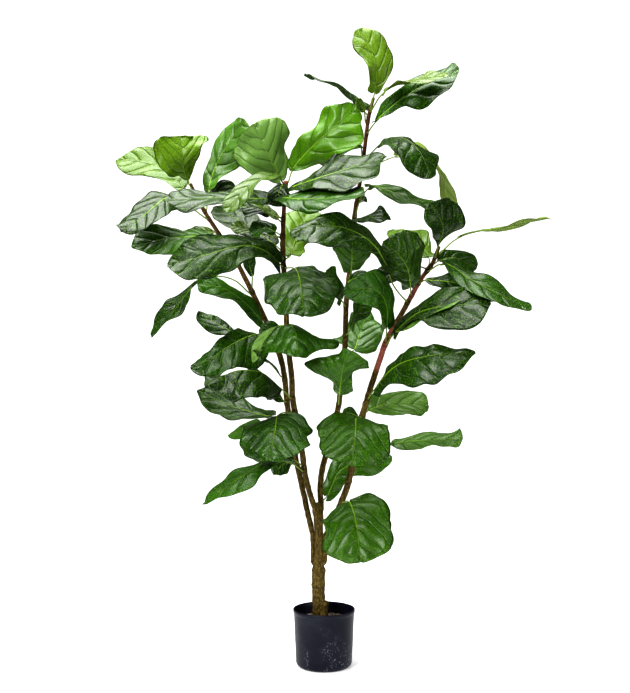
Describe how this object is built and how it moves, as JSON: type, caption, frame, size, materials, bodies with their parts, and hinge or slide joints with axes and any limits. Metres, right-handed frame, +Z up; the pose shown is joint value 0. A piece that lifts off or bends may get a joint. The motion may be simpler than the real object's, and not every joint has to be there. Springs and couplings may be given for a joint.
{
  "type": "potted fiddle leaf fig",
  "caption": "Tall indoor fig with broad fiddle-shaped leaves on slender forked stems rising from one short trunk, standing in a small round pot.",
  "frame": {"origin": "centre of the pot's flat base, on the surface it stands on", "axes": "+Z up, -Y towards the front of the arrangement, +X to the right as seen from the front"},
  "size_m": [1.0543, 0.521, 1.5034],
  "materials": {
    "pot": "dark blue-black moulded plastic, satin, lightly scuffed",
    "filling": "grey-brown gravel set in a heavy filling",
    "bark": "mottled olive-brown bark, reddish towards the tips",
    "leaf": "dark green leaf with paler veins and a soft satin sheen",
    "young_leaf": "yellow-green young leaf with pale veins, slightly translucent"
  },
  "bodies": {
    "root": {"pot": "pot", "filling": "filling", "trunk": "bark", "stem_far_left": "bark", "leaf_far_left_01": "leaf", "leaf_far_left_02": "leaf", "leaf_far_left_03": "leaf", "leaf_far_left_04": "leaf", "leaf_far_left_05": "leaf", "leaf_far_left_06": "leaf", "leaf_far_left_07": "leaf", "leaf_far_left_08": "leaf", "leaf_far_left_09": "leaf", "leaf_far_left_10": "young_leaf", "leaf_far_left_11": "young_leaf", "stem_left": "bark", "leaf_left_01": "leaf", "leaf_left_02": "leaf", "leaf_left_03": "leaf", "leaf_left_04": "leaf", "leaf_left_05": "leaf", "leaf_left_06": "leaf", "leaf_left_07": "young_leaf", "leaf_left_08": "leaf", "leaf_left_09": "leaf", "leaf_left_10": "leaf", "leaf_left_11": "leaf", "leaf_left_12": "young_leaf", "leaf_left_13": "leaf", "leaf_left_14": "leaf", "stem_centre": "bark", "leaf_centre_01": "leaf", "leaf_centre_02": "leaf", "leaf_centre_03": "leaf", "leaf_centre_04": "leaf", "leaf_centre_05": "leaf", "leaf_centre_06": "leaf", "leaf_centre_07": "leaf", "leaf_centre_08": "leaf", "leaf_centre_09": "young_leaf", "leaf_centre_10": "leaf", "leaf_centre_11": "leaf", "leaf_centre_12": "leaf", "leaf_centre_13": "leaf", "leaf_centre_14": "young_leaf", "leaf_centre_15": "young_leaf", "stem_right": "bark", "leaf_right_01": "leaf", "leaf_right_02": "leaf", "leaf_right_03": "leaf", "leaf_right_04": "leaf", "leaf_right_05": "leaf", "leaf_right_06": "leaf", "leaf_right_07": "leaf", "leaf_right_08": "leaf", "leaf_right_09": "leaf", "leaf_right_10": "leaf", "leaf_right_11": "young_leaf", "leaf_right_12": "leaf", "leaf_right_13": "young_leaf"}
  },
  "joints": []
}
